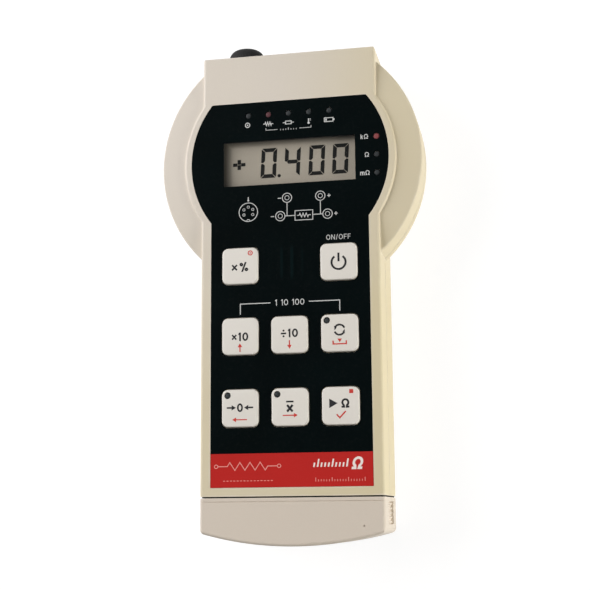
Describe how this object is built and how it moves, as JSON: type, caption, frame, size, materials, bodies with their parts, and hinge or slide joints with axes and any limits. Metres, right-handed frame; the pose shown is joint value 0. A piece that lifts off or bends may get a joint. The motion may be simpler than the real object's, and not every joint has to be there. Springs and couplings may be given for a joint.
{
  "type": "micro ohmmeter",
  "caption": "Handheld micro ohmmeter with a round display head, straight keypad grip, end cap over the battery bay and test sockets at the top.",
  "frame": {"origin": "on the surface under the back, below the middle of the whole outline", "axes": "+Z out of the keypad, +Y along the instrument towards the test sockets, +X to the right as the keypad is read"},
  "size_m": [0.1092, 0.2096, 0.037],
  "materials": {
    "aluminium": "plain aluminium",
    "black_plastic": "satin black moulded plastic",
    "black_rubber": "soft matt black rubber",
    "board_green": "green circuit board",
    "brass": "turned brass",
    "can_sleeve": "dark blue sleeve",
    "case_plastic": "fine textured ivory ABS",
    "cell_wrap": "plain green wrap",
    "ceramic": "white ceramic",
    "chip_epoxy": "moulded black epoxy",
    "display_glass": "grey green reflective liquid crystal display",
    "fuse_glass": "glass fuse with nickel caps",
    "key_plastic": "satin warm white key caps with printed signs",
    "lamp_dark": "smoked lamp lens",
    "lamp_red": "red lamp lens",
    "panel_film": "satin black film with pale printing and a red band",
    "red_plastic": "red moulded plastic",
    "relay_white": "white relay case",
    "steel": "bright zinc plated steel",
    "strip_rubber": "pink and black zebra rubber",
    "window_clear": "clear polished acrylic",
    "wire_red": "red wire cover",
    "wire_yellow": "yellow wire cover"
  },
  "bodies": {
    "case": {"front_shell": "case_plastic", "rear_shell": "case_plastic", "cap_seal": "black_rubber", "front_panel": "panel_film", "display_window": "window_clear", "display_frame": "black_plastic", "display_glass": "display_glass", "contact_strips": "strip_rubber", "key_switches": "black_plastic", "key_domes": "steel", "mode_lamps": "lamp_dark", "unit_lamps": "lamp_red", "key_lamps": "lamp_dark", "front_board": "board_green", "front_board_screws": "steel", "main_board": "board_green", "main_board_screws": "steel", "board_header": "black_plastic", "processor_chip": "chip_epoxy", "converter_chip": "chip_epoxy", "range_relays": "relay_white", "current_shunt": "ceramic", "heat_sink": "aluminium", "output_transistor": "chip_epoxy", "capacitors": "can_sleeve", "fuse": "fuse_glass", "fuse_clips": "brass", "battery_tray": "black_plastic", "battery_cells": "cell_wrap", "battery_springs": "steel", "battery_contacts": "brass", "battery_leads": "wire_red", "socket_plate": "black_plastic", "socket_sense_minus": "black_plastic", "socket_sense_plus": "red_plastic", "socket_current_minus": "black_plastic", "socket_current_plus": "red_plastic", "contact_sense_minus": "brass", "contact_sense_plus": "brass", "contact_current_minus": "brass", "contact_current_plus": "brass", "socket_nuts": "steel", "socket_leads": "wire_yellow", "probe_socket": "black_plastic", "probe_insert": "black_plastic", "probe_contacts": "brass", "probe_nut": "steel", "case_screws": "steel"},
    "key_coefficient": {"key_coefficient": "key_plastic"},
    "key_power": {"key_power": "key_plastic"},
    "key_up": {"key_up": "key_plastic"},
    "key_down": {"key_down": "key_plastic"},
    "key_auto": {"key_auto": "key_plastic"},
    "key_zero": {"key_zero": "key_plastic"},
    "key_average": {"key_average": "key_plastic"},
    "key_measure": {"key_measure": "key_plastic"},
    "end_cap": {"end_cap": "case_plastic"},
    "probe_dust_cap": {"probe_dust_cap": "black_rubber"}
  },
  "joints": [
    {"name": "press_coefficient", "type": "slide", "parent": "case", "child": "key_coefficient", "axis": [0, 0, -1], "range_m": [0, 0.0006], "stiffness_N_per_m": 2500},
    {"name": "press_power", "type": "slide", "parent": "case", "child": "key_power", "axis": [0, 0, -1], "range_m": [0, 0.0006], "stiffness_N_per_m": 2500},
    {"name": "press_up", "type": "slide", "parent": "case", "child": "key_up", "axis": [0, 0, -1], "range_m": [0, 0.0006], "stiffness_N_per_m": 2500},
    {"name": "press_down", "type": "slide", "parent": "case", "child": "key_down", "axis": [0, 0, -1], "range_m": [0, 0.0006], "stiffness_N_per_m": 2500},
    {"name": "press_auto", "type": "slide", "parent": "case", "child": "key_auto", "axis": [0, 0, -1], "range_m": [0, 0.0006], "stiffness_N_per_m": 2500},
    {"name": "press_zero", "type": "slide", "parent": "case", "child": "key_zero", "axis": [0, 0, -1], "range_m": [0, 0.0006], "stiffness_N_per_m": 2500},
    {"name": "press_average", "type": "slide", "parent": "case", "child": "key_average", "axis": [0, 0, -1], "range_m": [0, 0.0006], "stiffness_N_per_m": 2500},
    {"name": "press_measure", "type": "slide", "parent": "case", "child": "key_measure", "axis": [0, 0, -1], "range_m": [0, 0.0006], "stiffness_N_per_m": 2500},
    {"name": "end_cap_pull", "type": "slide", "parent": "case", "child": "end_cap", "axis": [0, -1, 0], "range_m": [0, 0.03]},
    {"name": "dust_cap_pull", "type": "slide", "parent": "case", "child": "probe_dust_cap", "axis": [0, 1, 0], "range_m": [0, 0.015]}
  ]
}
